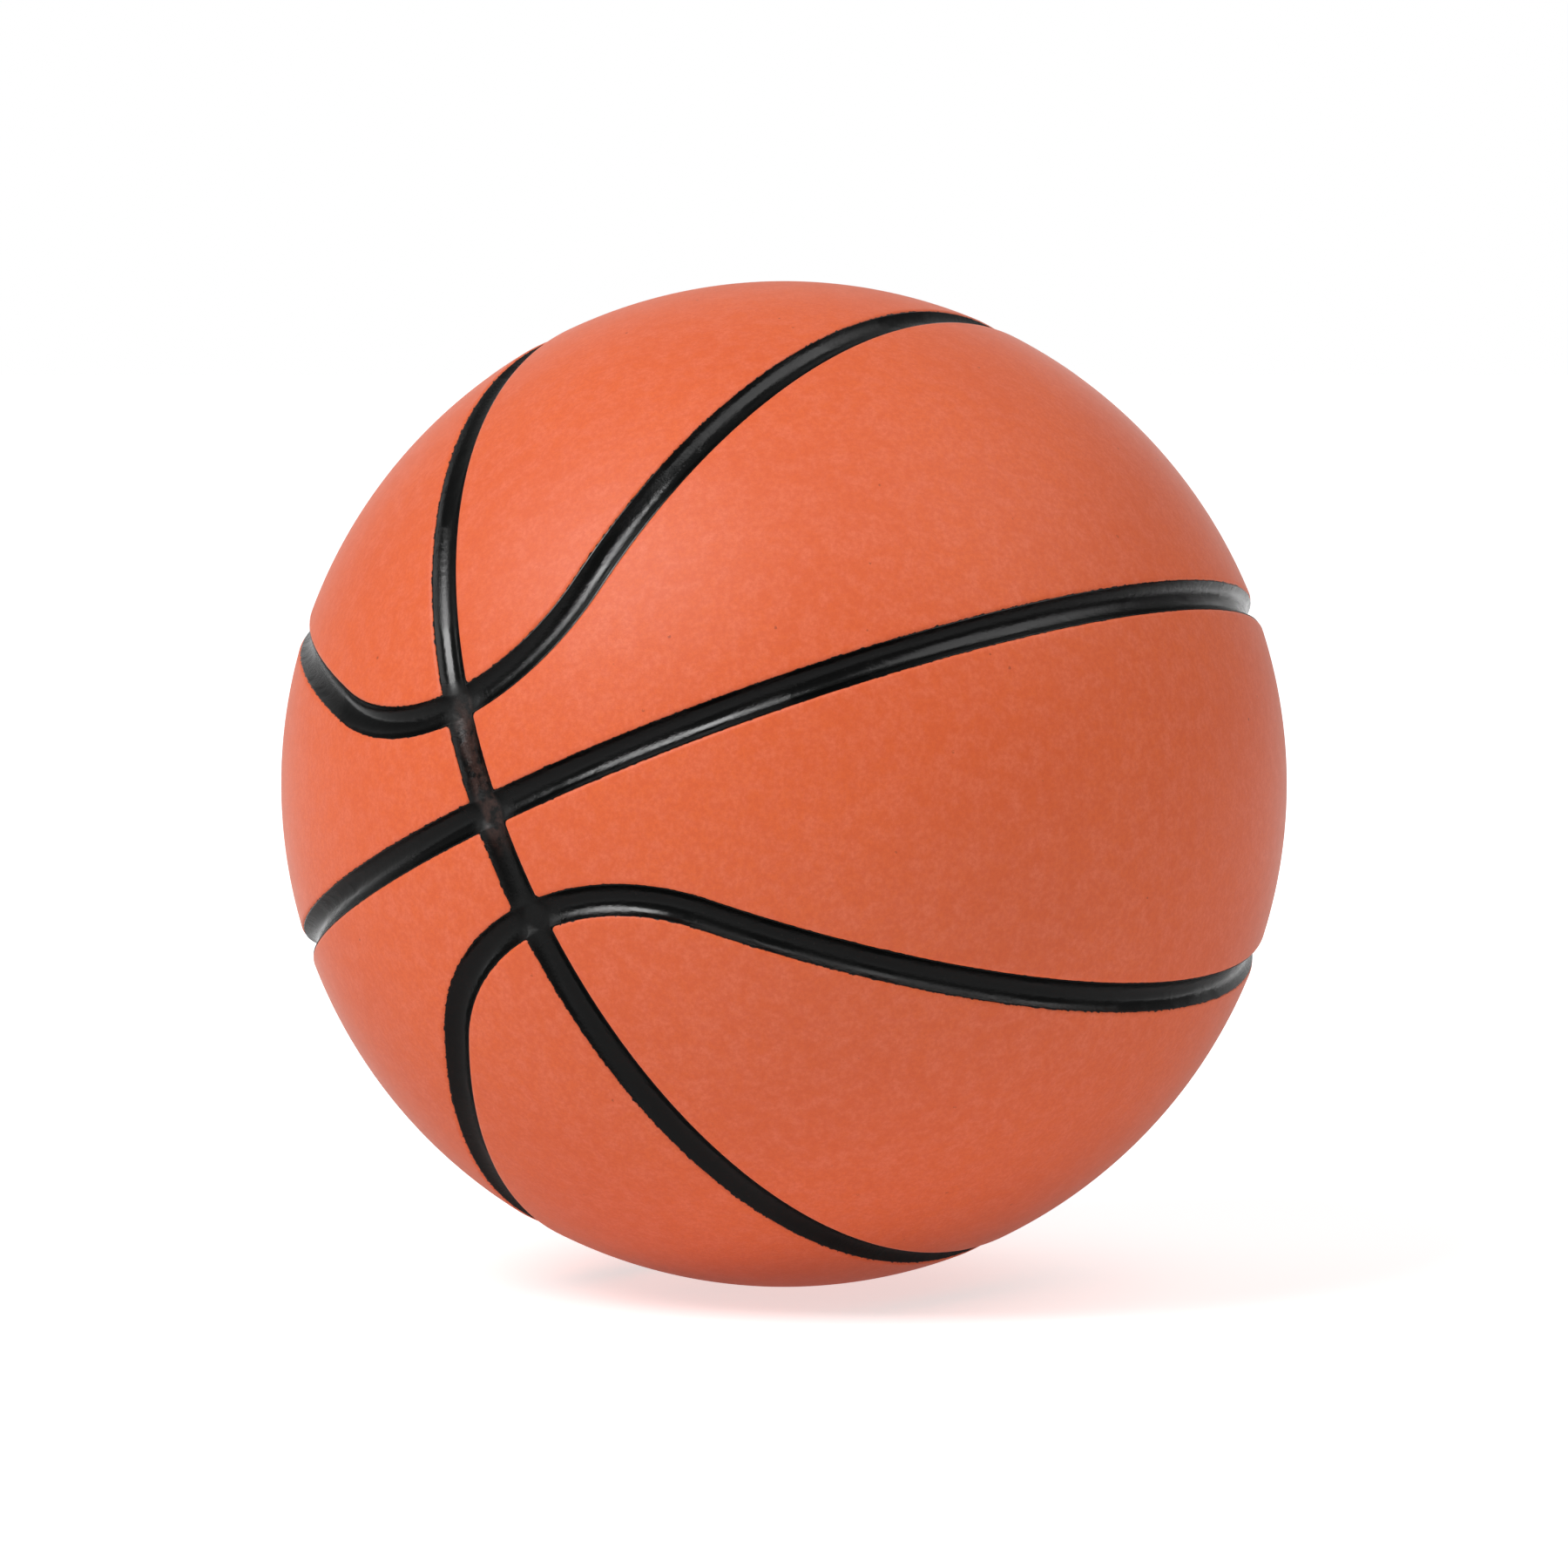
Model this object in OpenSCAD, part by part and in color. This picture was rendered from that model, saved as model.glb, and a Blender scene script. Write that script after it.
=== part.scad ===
// Basketball, full size, laminated: a wound bladder, a ribbed rubber carcass and
// eight cover panels laid between the ribs. All lengths are in millimetres.
// The origin is the ball's centre. Seams are laid out in the ball's own frame, where
// the level seam lies in the XY plane and the upright seam in the XZ plane, and the
// whole ball is then leaned and turned into the attitude in which it rests.

/* [Ball] */
// Diameter over the cover panels, pumped up
ball_d = 243; // [238:1:248]

/* [Wall] */
// Thickness of a cover panel
panel_t = 2.2; // [2:0.1:3]
// Thickness of the carcass under a panel
carcass_t = 1; // [0.8:0.1:2]
// Thickness of the thread winding
winding_t = 0.5; // [0.4:0.1:1.2]
// Thickness of the bladder
bladder_t = 0.7; // [0.5:0.1:1.5]
// Film of cement between two layers, and beside a rib
cement_t = 0.05; // [0.03:0.01:0.1]

/* [Channels] */
// Width of a rib, which is the black of the channel
channel_w = 7.3; // [5:0.1:8.5]
// Depth of the channel along its middle
channel_depth = 2.5; // [1.5:0.1:2.8]
// How far the rim of a rib lies below the cover
rim_drop = 0.35; // [0.2:0.05:0.6]
// Width of the rounded lip of a panel beside the channel
lip_w = 1.4; // [0.8:0.1:2]
// Flat rim of a rib beside its hollow
rim_land = 0.2; // [0.1:0.05:0.4]

/* [Seam layout] */
// Latitude at which a curved seam crosses the upright seam, in degrees
tip_lat = 12.5; // [10:0.5:15]
// Latitude of a curved seam at its flanks, in degrees
flank_lat = 45.3; // [43:0.1:47]
// Angular radius of the tight bend round each tip, in degrees
tip_bend = 24.1; // [22:0.1:26]

/* [Resting attitude] */
// Lean of the level seam, in degrees
lean = 23.4; // [0:0.1:90]
// Turn about the vertical, in degrees
heading = -124.1; // [-180:0.1:180]

/* [Valve] */
// Longitude of the valve in the ball's own frame, in degrees
valve_lon = -90; // [-95:1:-85]
// Latitude of the valve in the ball's own frame, in degrees
valve_lat = 22; // [19:1:25]
// Diameter of the seat's neck, which shows in the cover
neck_d = 9; // [8:0.5:11]
// Diameter of the seat's flange inside the bladder
flange_d = 28; // [22:1:34]
// Thickness of the flange
flange_t = 1.5; // [1:0.1:2.5]
// Length of the neck inside the flange
neck_in = 9; // [7:0.5:12]
// Diameter of the valve core
core_d = 5.6; // [5:0.1:6]
// Diameter of the bulb that holds the core in its seat
bulb_d = 7.6; // [7:0.1:7.8]
// Length of the bulb
bulb_h = 3; // [2:0.5:4]
// Length of solid rubber below the needle hole, which the slit closes
slit_h = 4.5; // [3.5:0.5:6]
// Diameter of the needle hole
needle_d = 1.8; // [1.6:0.1:2]
// Widened mouth of the needle hole
mouth_d = 3; // [2.6:0.1:3.6]
// How far the valve lies below the cover
valve_drop = 0.5; // [0.3:0.1:1]
// Clearance round the neck and the core
valve_clearance = 0.1; // [0.05:0.05:0.2]

/* [Hidden] */

panel_color = "#e07448";
channel_color = "#161514";
thread_color = "#d9d4c6";
bladder_color = "#2c2b2a";
valve_color = "#3a3836";

// Segments of a drawn circle, and steps along a tip bend, a flank bend, a lip and a hollow
fine = 96;
tip_steps = 9;
flank_steps = 30;
lip_steps = 3;
hollow_steps = 5;
// One overrun for all cuts
overrun = 1;

// Radii of the layers, from the cover inwards
ball_r = ball_d / 2;
panel_in_r = ball_r - panel_t;
carcass_out_r = panel_in_r - cement_t;
carcass_in_r = carcass_out_r - carcass_t;
winding_out_r = carcass_in_r - cement_t;
winding_in_r = winding_out_r - winding_t;
bladder_out_r = winding_in_r - cement_t;
bladder_in_r = bladder_out_r - bladder_t;

// A rib's half width, its hollow top, and the round of a panel's lip
rib_half = channel_w / 2;
panel_half = rib_half + cement_t;
hollow_half = rib_half - rim_land;
hollow_depth = channel_depth - rim_drop;
hollow_r = (hollow_half ^ 2 + hollow_depth ^ 2) / (2 * hollow_depth);
hollow_mid = hollow_r - channel_depth;
lip_slope = atan(rim_drop / lip_w);
lip_turn = lip_slope / 2;
lip_r = norm([lip_w, rim_drop]) / (2 * sin(lip_turn));
lip_mid = [-panel_half - lip_w / 2, -rim_drop / 2]
    - lip_r * cos(lip_turn) * [sin(lip_slope), cos(lip_slope)];
// How far the blocks that part the ball into quarters reach
wedge_reach = ball_d / sin(tip_lat) * 2;

// The valve's radii, and its ends on its own line
neck_r = neck_d / 2;
neck_hole_r = neck_r + valve_clearance;
core_r = core_d / 2;
bulb_r = bulb_d / 2;
needle_r = needle_d / 2;
mouth_h = (mouth_d - needle_d) / 2;
flange_out_r = bladder_in_r - cement_t;
valve_in = flange_out_r - flange_t - neck_in;
valve_out = ball_r - valve_drop;

// A curved seam is four circles on the ball that touch end to end: a tight bend round
// each tip and a wide one along each flank. The wide bend follows from the tight one.
tip_axis = tip_lat + tip_bend;
flank_bend = 180 + atan((sin(tip_axis) * sin(flank_lat) - cos(tip_bend))
    / (sin(tip_axis) * cos(flank_lat) - sin(tip_bend)));
flank_axis = flank_lat - flank_bend;
tip_sweep = atan2(cos(flank_axis), -sin(flank_axis) * cos(tip_axis));
flank_sweep = atan2(cos(tip_axis), sin(tip_axis) * cos(flank_axis));

// Direction of a point on a curved seam, or beside it by an angle that grows away from the cap
function tip_point(turn, out) =
    cos(tip_bend + out) * [cos(tip_axis), 0, sin(tip_axis)]
    + sin(tip_bend + out) * [cos(turn) * sin(tip_axis), sin(turn), -cos(turn) * cos(tip_axis)];
function flank_point(turn, out) =
    cos(flank_bend - out) * [0, cos(flank_axis), sin(flank_axis)]
    + sin(flank_bend - out) * [sin(turn), -cos(turn) * sin(flank_axis), cos(turn) * cos(flank_axis)];

// Half a curved seam, from one tip round a flank to the other
function half_seam(out) = [
    for (i = [0 : tip_steps]) tip_point(tip_sweep * i / tip_steps, out),
    for (i = [1 : flank_steps - 1]) flank_point(flank_sweep * (1 - 2 * i / flank_steps), out),
    for (i = [tip_steps : -1 : 0])
        let (p = tip_point(tip_sweep * i / tip_steps, out)) [-p.x, p.y, p.z]
];

// Angle at the centre for a distance along the cover
function angle_of(reach) = reach / ball_r * 180 / PI;

// Points on an arc about a centre, from one angle to another
function arc(mid, r, from, to, steps) = [
    for (i = [0 : steps]) let (a = from + (to - from) * i / steps) mid + r * [cos(a), sin(a)]
];

// Cross-sections at a channel, as [distance across the seam, height over the cover].
// Their arcs run on past both ends, so that they cross what they cut.
lip_reach = lip_turn * (1 + 1 / lip_steps);
lip_arc = arc(lip_mid, lip_r, 90 - lip_slope + lip_reach, 90 - lip_slope - lip_reach, lip_steps);
cap_lip = concat(lip_arc, [[0, -rim_drop], [0, overrun], [lip_arc[0].x, overrun]]);
side_lip = [for (i = [len(cap_lip) - 1 : -1 : 0]) [-cap_lip[i].x, cap_lip[i].y]];
hollow_turn = asin(hollow_half / hollow_r) * (1 + 1 / hollow_steps);
hollow_section = concat(
    arc([0, hollow_mid], hollow_r, -90 - hollow_turn, -90 + hollow_turn, hollow_steps),
    [[hollow_half, overrun], [-hollow_half, overrun]]);

// Sweeps a section along half a curved seam
module sweep(section) {
    sides = len(section);
    rails = [for (p = section) (ball_r + p.y) * half_seam(angle_of(p.x))];
    stations = len(rails[0]);
    points = [for (i = [0 : stations - 1], k = [0 : sides - 1]) rails[k][i]];
    walls = [for (i = [0 : stations - 2], k = [0 : sides - 1])
        let (a = i * sides, b = a + sides, n = (k + 1) % sides)
        each [[a + k, b + n, b + k], [a + k, a + n, b + n]]];
    near_end = [for (k = [sides - 1 : -1 : 0]) k];
    far_end = [for (k = [0 : sides - 1]) (stations - 1) * sides + k];
    polyhedron(points, concat(walls, [near_end, far_end]), convexity = 10);
}

// Turns a section into a ring in the plane of the level seam
module ring() rotate_extrude($fn = fine) translate([ball_r, 0]) rotate(-90) children();

// The same ring round the level seam and round the upright one
module straight_rings() {
    ring() children();
    rotate([90, 0, 0]) ring() children();
}

module layer(outer_r, inner_r) difference() {
    sphere(r = outer_r, $fn = fine);
    sphere(r = inner_r, $fn = fine);
}

// All directions over one half of a cap, out to a distance beyond the curved seam.
// Its point is the ball's centre, so that its sides cut every layer squarely.
module cap_wedge(out) {
    base = [for (p = half_seam(angle_of(out))) ball_d * p / p.z];
    count = len(base);
    polyhedron(concat([[0, 0, 0]], base), concat(
        [for (i = [0 : count - 1]) [0, i + 1, (i + 1) % count + 1]],
        [[for (i = [count : -1 : 1]) i]]), convexity = 4);
}

// Where the upper right panels lie, held back from every seam by a gap
module quarter(low_y, low_z) translate([-wedge_reach, low_y, low_z])
    cube([2 * wedge_reach, wedge_reach, wedge_reach]);
module cap_space(gap) intersection() {
    cap_wedge(-gap);
    quarter(gap, 0);
}
module side_space(gap) difference() {
    quarter(gap, gap);
    cap_wedge(gap);
}

// Turns that take the upper right panels to the four quarters of the ball
upper_right = [0, 0, 0];
upper_left = [0, 0, 180];
lower_right = [0, 180, 0];
lower_left = [180, 0, 0];
quarters = [upper_right, upper_left, lower_right, lower_left];

module resting() rotate([lean, 0, heading]) children();

module lip_profile() {
    polygon(cap_lip);
    polygon(side_lip);
}

module cap_panel(turn) color(panel_color) resting() rotate(turn) difference() {
    intersection() {
        layer(ball_r, panel_in_r);
        cap_space(panel_half);
    }
    sweep(cap_lip);
    rotate([90, 0, 0]) ring() lip_profile();
}

module side_panel(turn) color(panel_color) resting() rotate(turn) difference() {
    intersection() {
        layer(ball_r, panel_in_r);
        side_space(panel_half);
    }
    sweep(side_lip);
    straight_rings() lip_profile();
}

module valved_side_panel(turn) color(panel_color) difference() {
    side_panel(turn);
    resting() neck_hole(panel_in_r, ball_r);
}

// The cover's panels leave their own shapes in the carcass, and the ribs stand between
module panel_beds() {
    for (turn = quarters) rotate(turn) intersection() {
        layer(ball_r, carcass_out_r);
        cap_space(rib_half);
    }
    for (turn = quarters) rotate(turn) intersection() {
        layer(ball_r, carcass_out_r);
        side_space(rib_half);
    }
}

module carcass() color(channel_color) resting() difference() {
    difference() {
        layer(ball_r - rim_drop, carcass_in_r);
        panel_beds();
    }
    straight_rings() translate([0, hollow_mid]) circle(r = hollow_r, $fn = fine);
    for (turn = quarters) rotate(turn) sweep(hollow_section);
    neck_hole(carcass_in_r, ball_r);
}

// The valve stands on a line from the ball's centre
module at_valve() rotate([0, 90 - valve_lat, valve_lon]) children();
module neck_hole(from_r, to_r) at_valve() translate([0, 0, from_r - overrun])
    cylinder(r = neck_hole_r, h = to_r - from_r + 2 * overrun, $fn = fine);

module thread_winding() color(thread_color) resting() difference() {
    layer(winding_out_r, winding_in_r);
    neck_hole(winding_in_r, winding_out_r);
}

module bladder() color(bladder_color) resting() difference() {
    layer(bladder_out_r, bladder_in_r);
    neck_hole(bladder_in_r, bladder_out_r);
}

// A rubber boot: a flange cemented inside the bladder, and a neck that reaches the cover
module valve_seat() color(valve_color) resting() at_valve() rotate_extrude($fn = fine) difference() {
    union() {
        translate([0, valve_in]) square([neck_r, valve_out - valve_in]);
        intersection() {
            difference() {
                circle(r = flange_out_r, $fn = fine);
                circle(r = flange_out_r - flange_t, $fn = fine);
            }
            square([flange_d / 2, ball_r]);
        }
    }
    translate([0, valve_in - overrun]) square([core_r + valve_clearance, valve_out - valve_in + 2 * overrun]);
    translate([0, valve_in - overrun]) square([bulb_r + valve_clearance, bulb_h + valve_clearance + overrun]);
}

// The rubber core that takes the inflating needle. Its solid foot holds the closed slit.
module valve_core() color(valve_color) resting() at_valve() rotate_extrude($fn = fine) polygon([
    [0, valve_in],
    [bulb_r, valve_in],
    [bulb_r, valve_in + bulb_h],
    [core_r, valve_in + bulb_h],
    [core_r, valve_out],
    [mouth_d / 2, valve_out],
    [needle_r, valve_out - mouth_h],
    [needle_r, valve_in + slit_h],
    [0, valve_in + slit_h]
]);

bladder();
valve_seat();
valve_core();
thread_winding();
carcass();
cap_panel(upper_right);  // cap_panel_upper_right
cap_panel(upper_left);  // cap_panel_upper_left
cap_panel(lower_right);  // cap_panel_lower_right
cap_panel(lower_left);  // cap_panel_lower_left
side_panel(upper_right);  // side_panel_upper_right
valved_side_panel(upper_left);  // side_panel_upper_left
side_panel(lower_right);  // side_panel_lower_right
side_panel(lower_left);  // side_panel_lower_left
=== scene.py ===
"""A basketball: eight rubber cover panels laid between the glossy black ribs of the carcass."""
import math

import bmesh
import bpy
import numpy as np
from mathutils import Euler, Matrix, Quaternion, Vector


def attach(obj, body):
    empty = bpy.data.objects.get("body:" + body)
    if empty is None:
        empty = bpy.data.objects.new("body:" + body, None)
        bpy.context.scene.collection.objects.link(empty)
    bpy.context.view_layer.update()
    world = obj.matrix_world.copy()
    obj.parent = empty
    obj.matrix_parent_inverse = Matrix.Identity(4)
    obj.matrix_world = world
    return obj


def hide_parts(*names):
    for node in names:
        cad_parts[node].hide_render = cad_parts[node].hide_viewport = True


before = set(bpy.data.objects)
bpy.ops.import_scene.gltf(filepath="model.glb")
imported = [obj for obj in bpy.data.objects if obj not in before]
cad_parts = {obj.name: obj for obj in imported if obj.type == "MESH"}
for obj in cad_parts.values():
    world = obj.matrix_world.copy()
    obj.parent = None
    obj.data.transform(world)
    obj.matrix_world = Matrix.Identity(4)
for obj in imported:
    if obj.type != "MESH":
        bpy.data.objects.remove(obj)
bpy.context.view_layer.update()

MM = 0.001

# Sizes of the ball, in metres and radians, as the solids have them
BALL_R = 121.5 * MM
PANEL_T = 2.2 * MM
CEMENT_T = 0.05 * MM
CARCASS_T = 1.0 * MM
RIB_HALF = 3.65 * MM
CHANNEL_DEPTH = 2.5 * MM
RIM_DROP = 0.35 * MM
RIM_LAND = 0.2 * MM
TIP_LAT = math.radians(12.5)
FLANK_LAT = math.radians(45.3)
TIP_BEND = math.radians(24.1)
LEAN = math.radians(23.4)
HEADING = math.radians(-124.1)
VALVE_LAT = math.radians(22)
NECK_HOLE_R = 4.6 * MM

# The rounding of a panel's edge, and the hollow along a rib
LIP_W = 1.1 * MM
LIP_DEPTH = 0.6 * MM
MOST_AT_EDGE = 1.4
HOLLOW_HALF = RIB_HALF - RIM_LAND
HOLLOW_DEPTH = CHANNEL_DEPTH - RIM_DROP
HOLLOW_R = (HOLLOW_HALF ** 2 + HOLLOW_DEPTH ** 2) / (2 * HOLLOW_DEPTH)
PANEL_HALF = RIB_HALF + CEMENT_T
PANEL_IN_R = BALL_R - PANEL_T
CARCASS_OUT_R = PANEL_IN_R - CEMENT_T
CARCASS_IN_R = CARCASS_OUT_R - CARCASS_T
RIM_R = BALL_R - RIM_DROP

# How finely the skins are divided, and where they are cut beside the seams
COVER_FINENESS = 7
CARCASS_FINENESS = 6
DRILL_SIDES = 96
DRILL_LENGTH = 12 * MM
HOLLOW_CUTS = [share * HOLLOW_HALF for share in (0, 0.2, 0.4, 0.58, 0.74, 0.87, 1)] + [RIB_HALF]
LIP_CUTS = [PANEL_HALF + share * LIP_W for share in (0, 0.06, 0.15, 0.28, 0.44, 0.62, 0.82, 1.05)]
REFINED_PAST_CUTS = 2 * MM

# How far from a plane or a seam its cuts reach, and how near points are when they are joined
PLANE_REACH = 6 * MM
CURVE_REACH = 8 * MM
PARTING_REACH = 12 * MM
CUT_WELD = 0.01 * MM
SKIN_WELD = 0.015 * MM
QUARTER_WELD = 0.02 * MM
CREASE_ANGLE = math.radians(50)

# Where the upright rib is worn brown between two crossings: how far along, and how wide
WORN_PLACE = Vector((-71.6, -97.8, 8.4)) * MM
WORN_ALL = 13 * MM
WORN_END = 22 * MM
WORN_WIDE_ALL = 1.8 * MM
WORN_WIDE_END = 3.2 * MM

# The camera looks at the middle of the ball, from a little above
CAMERA_AWAY = 1.753
CAMERA_ELEVATION = math.radians(3.65)
CAMERA_LENS = 166.2
CAMERA_SENSOR = 36
CAMERA_NEAR = 0.01

# The white paper under the ball: how it glows for all, for the camera and far off, how far out
# its shadow is kept, and how much dimmer a gloss sees it in front of the ball
FLOOR_SIZE = 60
PAPER_GLOW = 0.3
CAMERA_GLOW = 0.3
FAR_GLOW = 0.4
SHADOW_KEPT = 0.2
SHADOW_GONE = 0.7
GLOSS_DIMMING = 0.75
UNDIMMED_BEHIND = 1.0

# How bright the room is in front of the ball, behind it and to its right, and how a gloss sees
# the backdrop
ROOM_FRONT = 0.04
ROOM_BACK = 0.52
ROOM_RIGHT = 0.8
BACKDROP_ASIDE = 0.1
BACKDROP_BEHIND = 1.0
BACKDROP_NARROWNESS = 5

# A curved seam: a tight bend round each tip and a wide one along each flank, which touch
TIP_LINE = TIP_LAT + TIP_BEND
FLANK_BEND = math.pi + math.atan(
    (math.sin(TIP_LINE) * math.sin(FLANK_LAT) - math.cos(TIP_BEND))
    / (math.sin(TIP_LINE) * math.cos(FLANK_LAT) - math.sin(TIP_BEND)))
FLANK_LINE = FLANK_LAT - FLANK_BEND
TIP_SWEEP = math.atan2(math.cos(FLANK_LINE), -math.sin(FLANK_LINE) * math.cos(TIP_LINE))
TIP_AXIS = Vector((math.cos(TIP_LINE), 0, math.sin(TIP_LINE)))
FLANK_AXIS = Vector((0, math.cos(FLANK_LINE), math.sin(FLANK_LINE)))
TOUCH = math.cos(TIP_BEND) * TIP_AXIS + math.sin(TIP_BEND) * Vector((
    math.cos(TIP_SWEEP) * math.sin(TIP_LINE), math.sin(TIP_SWEEP),
    -math.cos(TIP_SWEEP) * math.cos(TIP_LINE)))
PARTING = TIP_AXIS.cross(TOUCH).normalized()
LEVEL = Vector((0, 0, 1))
UPRIGHT = Vector((0, 1, 0))
CROSSWISE = Vector((1, 0, 0))
AT_REST = Euler((LEAN, 0, HEADING)).to_matrix()

# The turns that carry the upper right quarter of the ball to each quarter
QUARTERS = {
    "upper_right": (0, 0, 0),
    "upper_left": (0, 0, math.pi),
    "lower_right": (0, math.pi, 0),
    "lower_left": (math.pi, 0, 0),
}


# Where points lie by the seams

def places(piece):
    """Where the piece's points are, one row each."""
    found = np.empty(len(piece.data.vertices) * 3)
    piece.data.vertices.foreach_get("co", found)
    return found.reshape(-1, 3)


def on_flank(points):
    """Whether points in the ball's first eighth lie beside the wide bend of the curved seam."""
    return points @ np.array(PARTING) * math.copysign(1, PARTING.x) < 0


def beside_curve(points):
    """Distance from the curved seam, below nought on the cap's side of it."""
    folded = np.abs(points)
    unit = folded / np.linalg.norm(folded, axis=1, keepdims=True)
    from_tip = np.arccos(np.clip(unit @ np.array(TIP_AXIS), -1, 1)) - TIP_BEND
    from_flank = FLANK_BEND - np.arccos(np.clip(unit @ np.array(FLANK_AXIS), -1, 1))
    return BALL_R * np.where(on_flank(folded), from_flank, from_tip)


def seam_distances(points):
    """Distances from the level, the upright and the curved seam."""
    outwards = BALL_R / np.linalg.norm(points, axis=1)
    return (np.abs(points[:, 2]) * outwards, np.abs(points[:, 1]) * outwards,
            np.abs(beside_curve(points)))


def lip_nearness(points):
    """0 away from a panel's edge, 1 at the edge, and more round its corners."""
    total = np.zeros(len(points))
    for distance in seam_distances(points):
        total += np.clip(1 - (distance - PANEL_HALF) / LIP_W, 0, 1) ** 2
    return np.sqrt(total)


def hollow_share(points):
    """How deep the hollow of a rib is, as a share of its full depth."""
    total = np.zeros(len(points))
    for distance in seam_distances(points):
        inside = np.clip(distance, 0, HOLLOW_HALF)
        height = np.sqrt(HOLLOW_R ** 2 - inside ** 2) - (HOLLOW_R - HOLLOW_DEPTH)
        total += (np.clip(height, 0, None) / HOLLOW_DEPTH) ** 2
    return np.clip(np.sqrt(total), 0, 1)


# Work on a piece

def nothing_selected():
    bpy.ops.object.select_all(action="DESELECT")


def only(piece):
    """Makes the piece the one that the next operator works on."""
    nothing_selected()
    piece.select_set(True)
    bpy.context.view_layer.objects.active = piece


def editing(piece):
    """Opens the piece's mesh with nothing in it selected."""
    only(piece)
    bpy.ops.object.mode_set(mode="EDIT")
    bpy.ops.mesh.select_mode(type="FACE")
    bpy.ops.mesh.select_all(action="DESELECT")


def done_editing():
    bpy.ops.object.mode_set(mode="OBJECT")


def select_all_faces():
    bpy.ops.mesh.select_all(action="SELECT")


def select_faces(piece, wanted):
    """Selects the faces whose middles the test takes, and returns how many."""
    mesh = bmesh.from_edit_mesh(piece.data)
    middles = np.array([face.calc_center_median() for face in mesh.faces])
    taken = wanted(middles)
    for face, take in zip(mesh.faces, taken):
        face.select_set(bool(take))
    bmesh.update_edit_mesh(piece.data)
    return int(taken.sum())


def moved_out(share):
    """Moves what is selected out from the ball's centre, or in where the share is below 1."""
    bpy.ops.transform.resize(value=(share, share, share), center_override=(0, 0, 0))


def extruded_out(share):
    """Extrudes what is selected out from the ball's centre, or in where the share is below 1."""
    bpy.ops.mesh.extrude_region_move(TRANSFORM_OT_translate={"value": (0, 0, 0)})
    moved_out(share)


def modified(piece, kind, **settings):
    """Gives the piece a modifier with its settings, and applies it."""
    only(piece)
    bpy.ops.object.modifier_add(type=kind)
    modifier = piece.modifiers[-1]
    for name, value in settings.items():
        setattr(modifier, name, value)
    bpy.ops.object.modifier_apply(modifier=modifier.name)


def rounded(piece, radius):
    """Draws every point out to the same radius."""
    modified(piece, "CAST", factor=1, radius=0, size=radius, use_radius_as_size=False)


def mirrored_crosswise(piece):
    """Joins the piece to its mirror image over the plane between the right and the left."""
    modified(piece, "MIRROR", use_axis=(True, False, False), use_clip=True,
             merge_threshold=CUT_WELD)


def sunk(piece, shares, depth):
    """Sinks each point along its normal by its share of the depth."""
    group = piece.vertex_groups.new(name="sunk")
    for index in np.nonzero(shares > 0)[0]:
        group.add([int(index)], float(shares[index]), "REPLACE")
    modified(piece, "DISPLACE", direction="NORMAL", mid_level=0, strength=-depth,
             vertex_group=group.name)
    piece.vertex_groups.clear()


def noted(piece, name, values):
    """Keeps a number at each point, which the materials read."""
    attribute = piece.data.attributes.new(name, "FLOAT", "POINT")
    attribute.data.foreach_set("value", np.asarray(values, dtype=np.float32))


def named(piece, name):
    piece.name = name
    piece.data.name = name


def turned(piece, turn):
    """Turns the piece's mesh about the ball's centre."""
    only(piece)
    piece.rotation_euler = turn
    bpy.ops.object.transform_apply(location=False, rotation=True, scale=False)


def copied(piece, name, turn=(0, 0, 0)):
    """A copy with its own mesh, turned about the ball's centre."""
    only(piece)
    bpy.ops.object.duplicate(linked=False)
    copy = bpy.context.object
    named(copy, name)
    turned(copy, turn)
    return copy


def joined(first, others):
    """Makes the others part of the first one's mesh."""
    only(first)
    for other in others:
        other.select_set(True)
    bpy.ops.object.join()


def laid_to_rest(piece):
    """Turns a finished piece into the attitude in which the ball rests."""
    turned(piece, AT_REST.to_euler())


# The pieces of the ball

def cut(piece, normal, distance, wanted):
    """Cuts the faces near a plane along it."""
    def near_plane(points):
        return (np.abs(points @ np.array(normal) - distance) < PLANE_REACH) & wanted(points)

    if select_faces(piece, near_plane):
        bpy.ops.mesh.bisect(plane_co=normal * distance, plane_no=normal, threshold=CUT_WELD)


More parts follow.
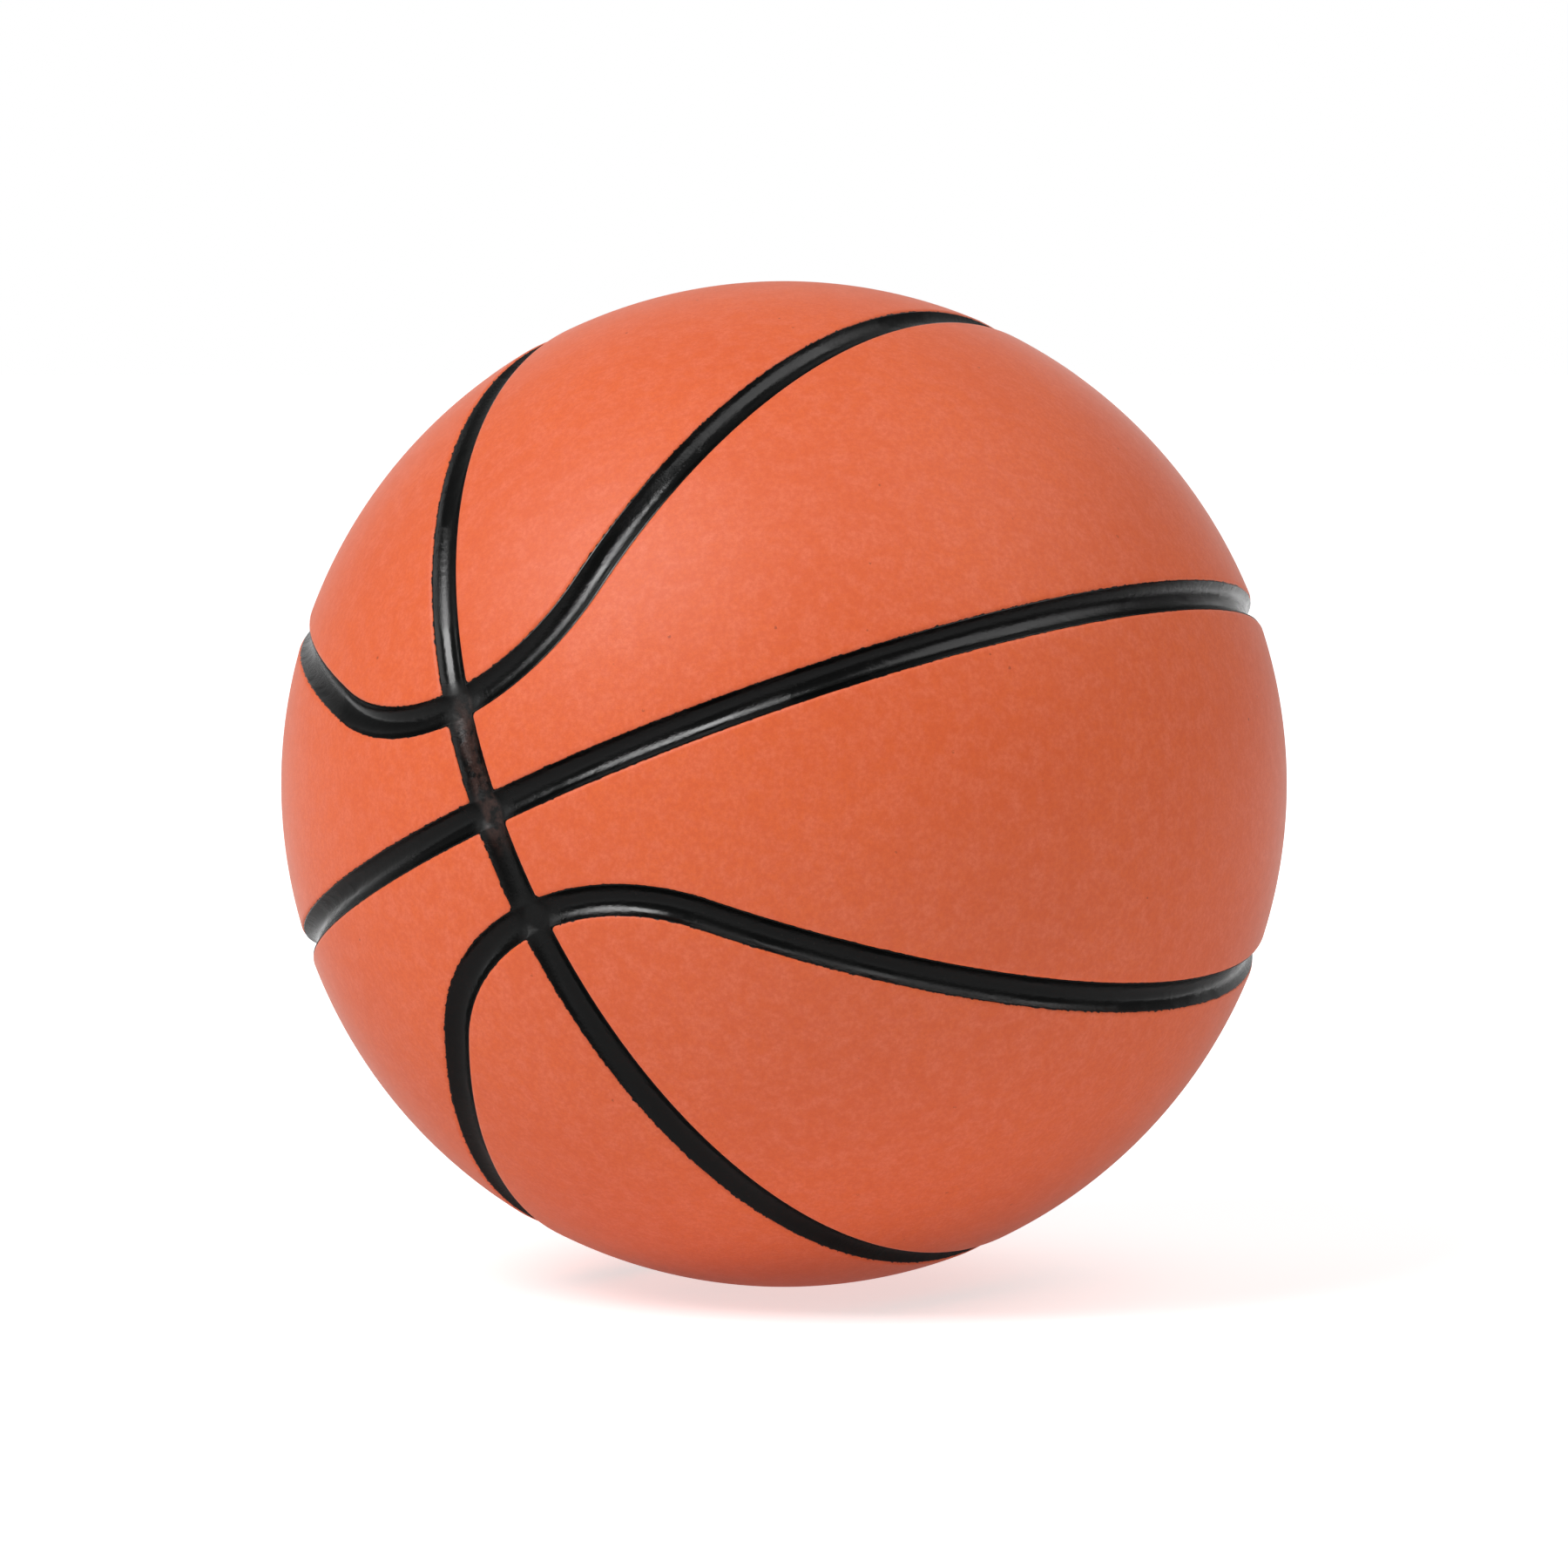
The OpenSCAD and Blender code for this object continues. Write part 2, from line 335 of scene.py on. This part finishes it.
def ball_eighth(name, fineness, refinements, offsets):
    """An eighth of the ball's skin, cut along every seam at each of the offsets from it."""
    def near_seams(points):
        return np.min(seam_distances(points), axis=0) < max(offsets) + REFINED_PAST_CUTS

    def near_parting(points):
        return np.abs(beside_curve(points)) < PARTING_REACH

    def near_tip_bend(points):
        return (np.abs(beside_curve(points)) < CURVE_REACH) & ~on_flank(points)

    def near_flank_bend(points):
        return (np.abs(beside_curve(points)) < CURVE_REACH) & on_flank(points)

    def everywhere(points):
        return np.ones(len(points), bool)

    nothing_selected()
    bpy.ops.mesh.primitive_ico_sphere_add(subdivisions=fineness, radius=BALL_R)
    piece = bpy.context.object
    piece.name = name
    for normal in (CROSSWISE, UPRIGHT, LEVEL):
        editing(piece)
        select_all_faces()
        bpy.ops.mesh.bisect(plane_co=(0, 0, 0), plane_no=normal, clear_inner=True,
                            threshold=CUT_WELD)
        done_editing()
    editing(piece)
    for _ in range(refinements):
        select_faces(piece, near_seams)
        bpy.ops.mesh.subdivide(number_cuts=1)
    done_editing()
    rounded(piece, BALL_R)
    editing(piece)
    cut(piece, PARTING, 0, near_parting)
    for offset in offsets:
        if offset > 0:
            for straight in (LEVEL, UPRIGHT):
                cut(piece, straight, offset, everywhere)
        for beside in {offset, -offset}:  # one cut on the seam itself, and two beside it
            angle = beside / BALL_R
            cut(piece, TIP_AXIS, BALL_R * math.cos(TIP_BEND + angle), near_tip_bend)
            cut(piece, FLANK_AXIS, BALL_R * math.cos(FLANK_BEND - angle), near_flank_bend)
    select_all_faces()
    bpy.ops.mesh.remove_doubles(threshold=SKIN_WELD)
    done_editing()
    rounded(piece, BALL_R)
    return piece


def cover_panel(eighth, name, on_cap):
    """One panel of the cover: its skin rounds down to its edges, and it has its thickness."""
    def away_from_panel(points):
        level, upright, _ = seam_distances(points)
        beside = beside_curve(points)
        beside = -beside if on_cap else beside
        return ~((beside > PANEL_HALF) & (upright > PANEL_HALF) & (level > PANEL_HALF))

    panel = copied(eighth, name)
    editing(panel)
    select_faces(panel, away_from_panel)
    bpy.ops.mesh.delete(type="FACE")
    done_editing()
    mirrored_crosswise(panel)
    nearness = lip_nearness(places(panel))
    sunk(panel, 1 - np.sqrt(1 - np.clip(nearness, 0, 1) ** 2), LIP_DEPTH)
    editing(panel)
    select_all_faces()
    extruded_out(PANEL_IN_R / BALL_R)
    select_all_faces()
    bpy.ops.mesh.normals_make_consistent(inside=False)
    done_editing()
    noted(panel, "edge", np.clip(lip_nearness(places(panel)), 0, MOST_AT_EDGE))
    bpy.ops.object.shade_smooth_by_angle(angle=CREASE_ANGLE)
    return panel


def valve_opening(panel):
    """Cuts the round hole for the valve's neck through a panel that is not yet laid to rest."""
    out = Vector((0, -math.cos(VALVE_LAT), math.sin(VALVE_LAT)))
    nothing_selected()
    bpy.ops.mesh.primitive_cylinder_add(
        vertices=DRILL_SIDES, radius=NECK_HOLE_R, depth=DRILL_LENGTH, location=out * BALL_R,
        rotation=out.to_track_quat("Z", "Y").to_euler())
    drill = bpy.context.object
    modified(panel, "BOOLEAN", operation="DIFFERENCE", solver="EXACT", object=drill)
    bpy.data.objects.remove(drill)


def ribbed_carcass(eighth):
    """The carcass: a round shell whose hollow-topped ribs stand between the panels."""
    def on_seams(points):
        return np.min(seam_distances(points), axis=0) < RIB_HALF

    quarter = copied(eighth, "carcass_quarter")
    mirrored_crosswise(quarter)
    carcass, *others = [copied(quarter, f"carcass_{name}", turn)
                        for name, turn in QUARTERS.items()]
    bpy.data.objects.remove(quarter)
    joined(carcass, others)
    named(carcass, "ribbed_carcass")
    editing(carcass)
    select_all_faces()
    bpy.ops.mesh.remove_doubles(threshold=QUARTER_WELD)
    moved_out(CARCASS_OUT_R / BALL_R)
    select_faces(carcass, on_seams)
    extruded_out(RIM_R / CARCASS_OUT_R)
    done_editing()
    points = places(carcass)
    on_rib = np.linalg.norm(points, axis=1) > (RIM_R + CARCASS_OUT_R) / 2
    sunk(carcass, np.where(on_rib, hollow_share(points), 0), HOLLOW_DEPTH)
    nothing_selected()
    bpy.ops.mesh.primitive_ico_sphere_add(subdivisions=CARCASS_FINENESS, radius=CARCASS_IN_R)
    inner_wall = bpy.context.object
    editing(inner_wall)
    select_all_faces()
    bpy.ops.mesh.flip_normals()
    done_editing()
    joined(carcass, [inner_wall])
    second_seam = np.sort(seam_distances(places(carcass)), axis=0)[1]
    noted(carcass, "crossing", 1 - np.clip(second_seam / RIB_HALF - 1, 0, 1))
    bpy.ops.object.shade_smooth_by_angle(angle=CREASE_ANGLE)
    return carcass


# The finishes

class Wire:
    """A socket that takes part in sums."""

    def __init__(self, finish, socket):
        self.finish, self.socket = finish, socket

    def sum_with(self, operation, other, clamp=False):
        node = self.finish.nodes.new("ShaderNodeMath")
        node.operation = operation
        node.use_clamp = clamp
        self.finish.put(node.inputs[0], self)
        self.finish.put(node.inputs[1], other)
        return Wire(self.finish, node.outputs[0])

    def __add__(self, other):
        return self.sum_with("ADD", other)

    def __sub__(self, other):
        return self.sum_with("SUBTRACT", other)

    def __rsub__(self, other):
        return (self * -1) + other

    def __mul__(self, other):
        return self.sum_with("MULTIPLY", other)

    def __pow__(self, other):
        return self.sum_with("POWER", other)

    __radd__ = __add__
    __rmul__ = __mul__

    def largest(self, other):
        return self.sum_with("MAXIMUM", other)

    def clamped(self):
        return self.sum_with("ADD", 0, clamp=True)

    def ramp(self, low, high, start=0.0, end=1.0):
        """Goes smoothly from start at the low value to end at the high one."""
        return self.finish.node("ShaderNodeMapRange", {"interpolation_type": "SMOOTHSTEP"}, {
            "Value": self, "From Min": low, "From Max": high,
            "To Min": start, "To Max": end})["Result"]


class Outputs:
    """What comes out of a node, by name or number."""

    def __init__(self, finish, shader_node):
        self.finish, self.shader_node = finish, shader_node

    def __getitem__(self, key):
        return Wire(self.finish, self.shader_node.outputs[key])


class Finish:
    """The nodes of a material or of the world."""

    def __init__(self, holder):
        self.holder = holder
        holder.use_nodes = True
        self.nodes = holder.node_tree.nodes
        self.links = holder.node_tree.links
        self.nodes.clear()

    def put(self, slot, value):
        """Links a wire to a socket, or sets the socket to a number, a colour or a place."""
        if isinstance(value, Wire):
            self.links.new(value.socket, slot)
        elif isinstance(value, tuple) and slot.type == "RGBA":
            slot.default_value = (*value, 1)
        else:
            slot.default_value = value

    def node(self, kind, settings=None, values=None):
        """Adds a node with its settings, and puts the values on its sockets."""
        node = self.nodes.new(kind)
        for key, value in (settings or {}).items():
            setattr(node, key, value)
        for key, value in (values or {}).items():
            self.put(node.inputs[key], value)
        return Outputs(self, node)

    def at(self):
        """Where a point lies on its piece."""
        return self.node("ShaderNodeTexCoord")["Object"]

    def noise(self, scale, detail, roughness):
        return self.node("ShaderNodeTexNoise", None, {
            "Vector": self.at(), "Scale": scale, "Detail": detail,
            "Roughness": roughness})["Fac"]

    def blend(self, share, first, second):
        """The first colour, with its share of the second one over it."""
        return self.node("ShaderNodeMix", {"data_type": "RGBA"}, {
            0: share, 6: first, 7: second})[2]

    def kept(self, name):
        """The number that the piece keeps at each point under this name."""
        return self.node("ShaderNodeAttribute", {"attribute_name": name})["Fac"]

    def bump(self, height, strength, distance):
        return self.node("ShaderNodeBump", None, {
            "Height": height, "Strength": strength, "Distance": distance})["Normal"]

    def surface(self, **values):
        """Ends the material with a plain shader that has these values."""
        shader = self.node("ShaderNodeBsdfPrincipled", None, {
            key.replace("_", " "): value for key, value in values.items()})
        self.node("ShaderNodeOutputMaterial", None, {"Surface": shader["BSDF"]})
        return self.holder


def new_finish(name):
    return Finish(bpy.data.materials.new(name))


def srgb(red, green, blue):
    """A colour as it shows on the screen, from 0 to 255."""
    return tuple((c / 255 / 12.92) if c <= 10 else ((c / 255 + 0.055) / 1.055) ** 2.4
                 for c in (red, green, blue))


ORANGE = srgb(229, 102, 48)
DULL_ORANGE = srgb(225, 98, 46)
PALE_ORANGE = srgb(233, 116, 80)
DEEP_ORANGE = srgb(217, 87, 41)
DARK_ORANGE = srgb(208, 85, 45)
DOT_BROWN = srgb(140, 52, 28)
INK = srgb(22, 20, 20)
RIB_BLACK = srgb(3, 4, 4)
CLOUDY_BLACK = srgb(9, 9, 8)
DUST_GREY = srgb(80, 76, 72)
WORN_BROWN = srgb(82, 55, 48)
BLADDER_BLACK = srgb(44, 43, 42)
SEAT_BLACK = srgb(40, 38, 37)
CORE_BLACK = srgb(52, 49, 47)
THREAD_SHADE = srgb(176, 170, 154)
THREAD_WHITE = srgb(222, 216, 200)
PAPER_WHITE = (0.8, 0.8, 0.8)
PAPER_FIBRE = (0.78, 0.78, 0.78)
UNLIT = (0, 0, 0)


def cover_rubber():
    """Matte orange rubber with a fine grain, dark dots and a ragged black edge."""
    finish = new_finish("cover_rubber")
    broad = finish.noise(scale=22, detail=3, roughness=0.55)
    mottle = finish.noise(scale=240, detail=4, roughness=0.65)
    fine_grain = finish.noise(scale=2600, detail=2, roughness=0.6)
    coarse_grain = finish.noise(scale=900, detail=3, roughness=0.65)
    speck = finish.node("ShaderNodeTexVoronoi", {"feature": "F1"}, {
        "Vector": finish.at(), "Scale": 95.0, "Randomness": 1.0})["Distance"]
    ragged = finish.noise(scale=700, detail=3, roughness=0.6)
    skin = finish.blend(broad.ramp(0.35, 0.65), ORANGE, DULL_ORANGE)
    skin = finish.blend(mottle.ramp(0.35, 0.7) * 0.65, skin, PALE_ORANGE)
    skin = finish.blend(coarse_grain.ramp(0.35, 0.65) * 0.55, skin, DEEP_ORANGE)
    skin = finish.blend(fine_grain.ramp(0.35, 0.7) * 0.25, skin, DARK_ORANGE)
    dots = speck.ramp(0.045, 0.03) * coarse_grain.ramp(0.45, 0.55)
    skin = finish.blend(dots * 0.55, skin, DOT_BROWN)
    inked = (finish.kept("edge") + ragged * 1.1).ramp(1.44, 1.54)
    skin = finish.blend(inked, skin, INK)
    roughness = 0.5 + fine_grain * 0.08 - inked * 0.12
    normal = finish.bump(fine_grain * 0.6 + coarse_grain * 0.4,
                         strength=0.5, distance=0.12 * MM)
    return finish.surface(Base_Color=skin, Roughness=roughness, Normal=normal,
                          Specular_IOR_Level=0.5, Sheen_Weight=0.22, Sheen_Roughness=0.3)


def rib_rubber():
    """Glossy black rubber, nicked and dusty, duller at the crossings and worn in one place."""
    finish = new_finish("rib_rubber")
    cloud = finish.noise(scale=60, detail=3, roughness=0.6)
    scuff = finish.noise(scale=1100, detail=4, roughness=0.7)
    dust = finish.noise(scale=2400, detail=2, roughness=0.6)
    black = finish.blend(cloud.ramp(0.4, 0.7) * 0.5, RIB_BLACK, CLOUDY_BLACK)
    black = finish.blend(dust.ramp(0.66, 0.76) * 0.3, black, DUST_GREY)
    from_wear = finish.node("ShaderNodeVectorMath", {"operation": "DISTANCE"}, {
        0: finish.at(), 1: WORN_PLACE})["Value"]
    off_rib = finish.node("ShaderNodeVectorMath", {"operation": "DOT_PRODUCT"}, {
        0: finish.at(), 1: AT_REST @ UPRIGHT})["Value"]
    rubbed = finish.noise(scale=420, detail=3, roughness=0.6)
    worn = (from_wear.ramp(WORN_END, WORN_ALL)
            * off_rib.ramp(-WORN_WIDE_END, -WORN_WIDE_ALL)
            * off_rib.ramp(WORN_WIDE_END, WORN_WIDE_ALL) * rubbed.ramp(0.36, 0.6))
    black = finish.blend(worn * (0.3 + scuff.ramp(0.3, 0.7) * 0.3), black, WORN_BROWN)
    roughness = (0.15 + scuff.ramp(0.45, 0.75) * 0.08 + cloud * 0.04 + worn * 0.05
                 + finish.kept("crossing") * (0.45 - worn * 0.2))
    nicks = (scuff * 0.7 + dust * 0.3) * (0.5 + cloud.ramp(0.42, 0.56) * 1.2)
    normal = finish.bump(nicks, strength=1.0, distance=0.1 * MM)
    return finish.surface(Base_Color=black, Roughness=roughness, Normal=normal,
                          Specular_IOR_Level=0.5)


def plain_rubber(name, colour, roughness, grain_scale):
    """Dark rubber with a faint cloud and a grain."""
    finish = new_finish(name)
    cloud = finish.noise(scale=90, detail=3, roughness=0.6)
    grain = finish.noise(scale=grain_scale, detail=3, roughness=0.6)
    paler = tuple(share * 1.7 + 0.01 for share in colour)
    tint = finish.blend(cloud.ramp(0.35, 0.7) * 0.4, colour, paler)
    return finish.surface(Base_Color=tint, Roughness=roughness + grain * 0.1,
                          Normal=finish.bump(grain, strength=0.3, distance=0.1 * MM))


def wound_thread():
    """Pale thread whose strands lie in rings."""
    finish = new_finish("wound_thread")
    strands = finish.node("ShaderNodeTexWave", {"wave_type": "RINGS", "rings_direction": "Z"}, {
        "Vector": finish.at(), "Scale": 320.0, "Distortion": 3.0, "Detail": 2.0})["Fac"]
    tint = finish.blend(strands, THREAD_SHADE, THREAD_WHITE)
    return finish.surface(Base_Color=tint, Roughness=0.7 + strands * 0.1,
                          Normal=finish.bump(strands, strength=0.5, distance=0.3 * MM))


# The camera, the floor and the light

def in_view(finish, in_gloss=1):
    """1 for what the camera sees, by itself or through a glass, and so much of it in a gloss."""
    path = finish.node("ShaderNodeLightPath")
    return (path["Is Camera Ray"].largest(path["Is Glossy Ray"] * in_gloss)
            .largest(path["Is Transmission Ray"]))


def not_in_gloss(finish):
    return 1 - finish.node("ShaderNodeLightPath")["Is Glossy Ray"]


def add_camera():
    bpy.ops.object.camera_add(
        location=(0, -CAMERA_AWAY * math.cos(CAMERA_ELEVATION),
                  CAMERA_AWAY * math.sin(CAMERA_ELEVATION)),
        rotation=(math.pi / 2 - CAMERA_ELEVATION, 0, 0))
    camera = bpy.context.object
    camera.data.lens = CAMERA_LENS
    camera.data.sensor_width = CAMERA_SENSOR
    camera.data.clip_start = CAMERA_NEAR
    bpy.context.scene.camera = camera


def add_floor():
    """White paper that keeps the shadow. A gloss sees it dimmer in front of the ball."""
    nothing_selected()
    bpy.ops.mesh.primitive_plane_add(size=FLOOR_SIZE, location=(0, 0, -BALL_R))
    floor = bpy.context.object
    floor.name = "floor"
    paper = new_finish("floor_paper")
    fibre = paper.noise(scale=400, detail=2, roughness=0.5)
    path = paper.node("ShaderNodeLightPath")
    spot = paper.node("ShaderNodeSeparateXYZ", None, {"Vector": paper.at()})
    shown = 1 - path["Is Glossy Ray"] * spot["Y"].ramp(UNDIMMED_BEHIND, 0) * GLOSS_DIMMING
    sheet = paper.blend(fibre * 0.1, PAPER_WHITE, PAPER_FIBRE)
    white = paper.node("ShaderNodeBsdfDiffuse", None, {
        "Color": paper.blend(shown, UNLIT, sheet)})["BSDF"]
    away = paper.node("ShaderNodeVectorMath", {"operation": "LENGTH"}, {0: paper.at()})["Value"]
    past_shadow = away.ramp(SHADOW_KEPT, SHADOW_GONE) * in_view(paper)
    glow = paper.node("ShaderNodeEmission", None, {
        "Color": PAPER_GLOW * shown + path["Is Camera Ray"] * CAMERA_GLOW
                 + past_shadow * shown * FAR_GLOW})["Emission"]
    both = paper.node("ShaderNodeAddShader", None, {0: white, 1: glow})["Shader"]
    paper.node("ShaderNodeOutputMaterial", None, {"Surface": both})
    floor.data.materials.append(paper.holder)


def add_studio():
    """A room that is brightest behind the ball, and a white backdrop for the camera.

    A gloss sees the backdrop only straight behind the ball, and not the room.
    """
    world = bpy.data.worlds.new("studio")
    bpy.context.scene.world = world
    studio = Finish(world)
    way = studio.node("ShaderNodeSeparateXYZ", None, {
        "Vector": studio.node("ShaderNodeTexCoord")["Generated"]})
    open_room = (way["Y"].ramp(-0.45, 0.35, start=ROOM_FRONT, end=ROOM_BACK)
                 * way["X"].ramp(-1, 1, start=1, end=ROOM_RIGHT))
    backdrop = (BACKDROP_ASIDE + (BACKDROP_BEHIND - BACKDROP_ASIDE)
                * way["Y"].clamped() ** BACKDROP_NARROWNESS)
    background = studio.node("ShaderNodeBackground", None, {
        "Color": (open_room * not_in_gloss(studio)).largest(in_view(studio, backdrop)),
        "Strength": 1})["Background"]
    studio.node("ShaderNodeOutputWorld", None, {"Surface": background})


def add_lamp(name, side, height, away, size, power, roll=0):
    """A soft lamp that looks at the ball, by its angles to the side and upwards in degrees."""
    side, height = math.radians(side), math.radians(height)
    place = away * Vector((math.sin(side) * math.cos(height),
                           -math.cos(side) * math.cos(height), math.sin(height)))
    bpy.ops.object.light_add(type="AREA", location=place)
    light = bpy.context.object
    light.name = name
    light.data.shape = "RECTANGLE"
    light.data.size, light.data.size_y = size
    light.data.energy = power
    facing = (-place).to_track_quat("-Z", "Y")
    light.rotation_euler = (facing @ Quaternion((0, 0, 1), math.radians(roll))).to_euler()


# Making the ball

cover_eighth = ball_eighth("cover_eighth", COVER_FINENESS, refinements=0, offsets=LIP_CUTS)
cap_panel = cover_panel(cover_eighth, "cap_panel", on_cap=True)
side_panel = cover_panel(cover_eighth, "side_panel", on_cap=False)
carcass_eighth = ball_eighth("carcass_eighth", CARCASS_FINENESS, refinements=1,
                             offsets=HOLLOW_CUTS)
carcass = ribbed_carcass(carcass_eighth)

orange = cover_rubber()
for model in (cap_panel, side_panel):
    model.data.materials.append(orange)
carcass.data.materials.append(rib_rubber())

for quarter, turn in QUARTERS.items():
    for model, place in ((cap_panel, "cap_panel"), (side_panel, "side_panel")):
        panel = copied(model, f"cover_{place}_{quarter}", turn)
        if (place, quarter) == ("side_panel", "upper_left"):
            valve_opening(panel)
        laid_to_rest(panel)
        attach(panel, "root")
        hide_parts(f"{place}_{quarter}")

laid_to_rest(carcass)
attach(carcass, "root")
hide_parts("carcass")

for model in (cover_eighth, carcass_eighth, cap_panel, side_panel):
    bpy.data.objects.remove(model)

inner_finishes = {
    "bladder": plain_rubber("bladder_finish", BLADDER_BLACK, 0.45, grain_scale=900),
    "valve_seat": plain_rubber("valve_seat_finish", SEAT_BLACK, 0.5, grain_scale=1400),
    "valve_core": plain_rubber("valve_core_finish", CORE_BLACK, 0.5, grain_scale=1600),
    "thread_winding": wound_thread(),
}
for node, finish in inner_finishes.items():
    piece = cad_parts[node]
    if not piece.material_slots:
        piece.data.materials.append(finish)
    for material_slot in piece.material_slots:
        material_slot.material = finish

add_camera()
add_floor()
add_studio()
add_lamp("key_lamp", side=-50, height=46, away=2.3, size=(1.5, 0.9), power=41, roll=30)
add_lamp("right_lamp", side=66, height=53, away=2.3, size=(2.3, 2.0), power=19.5)
bpy.context.scene.view_settings.view_transform = "Standard"
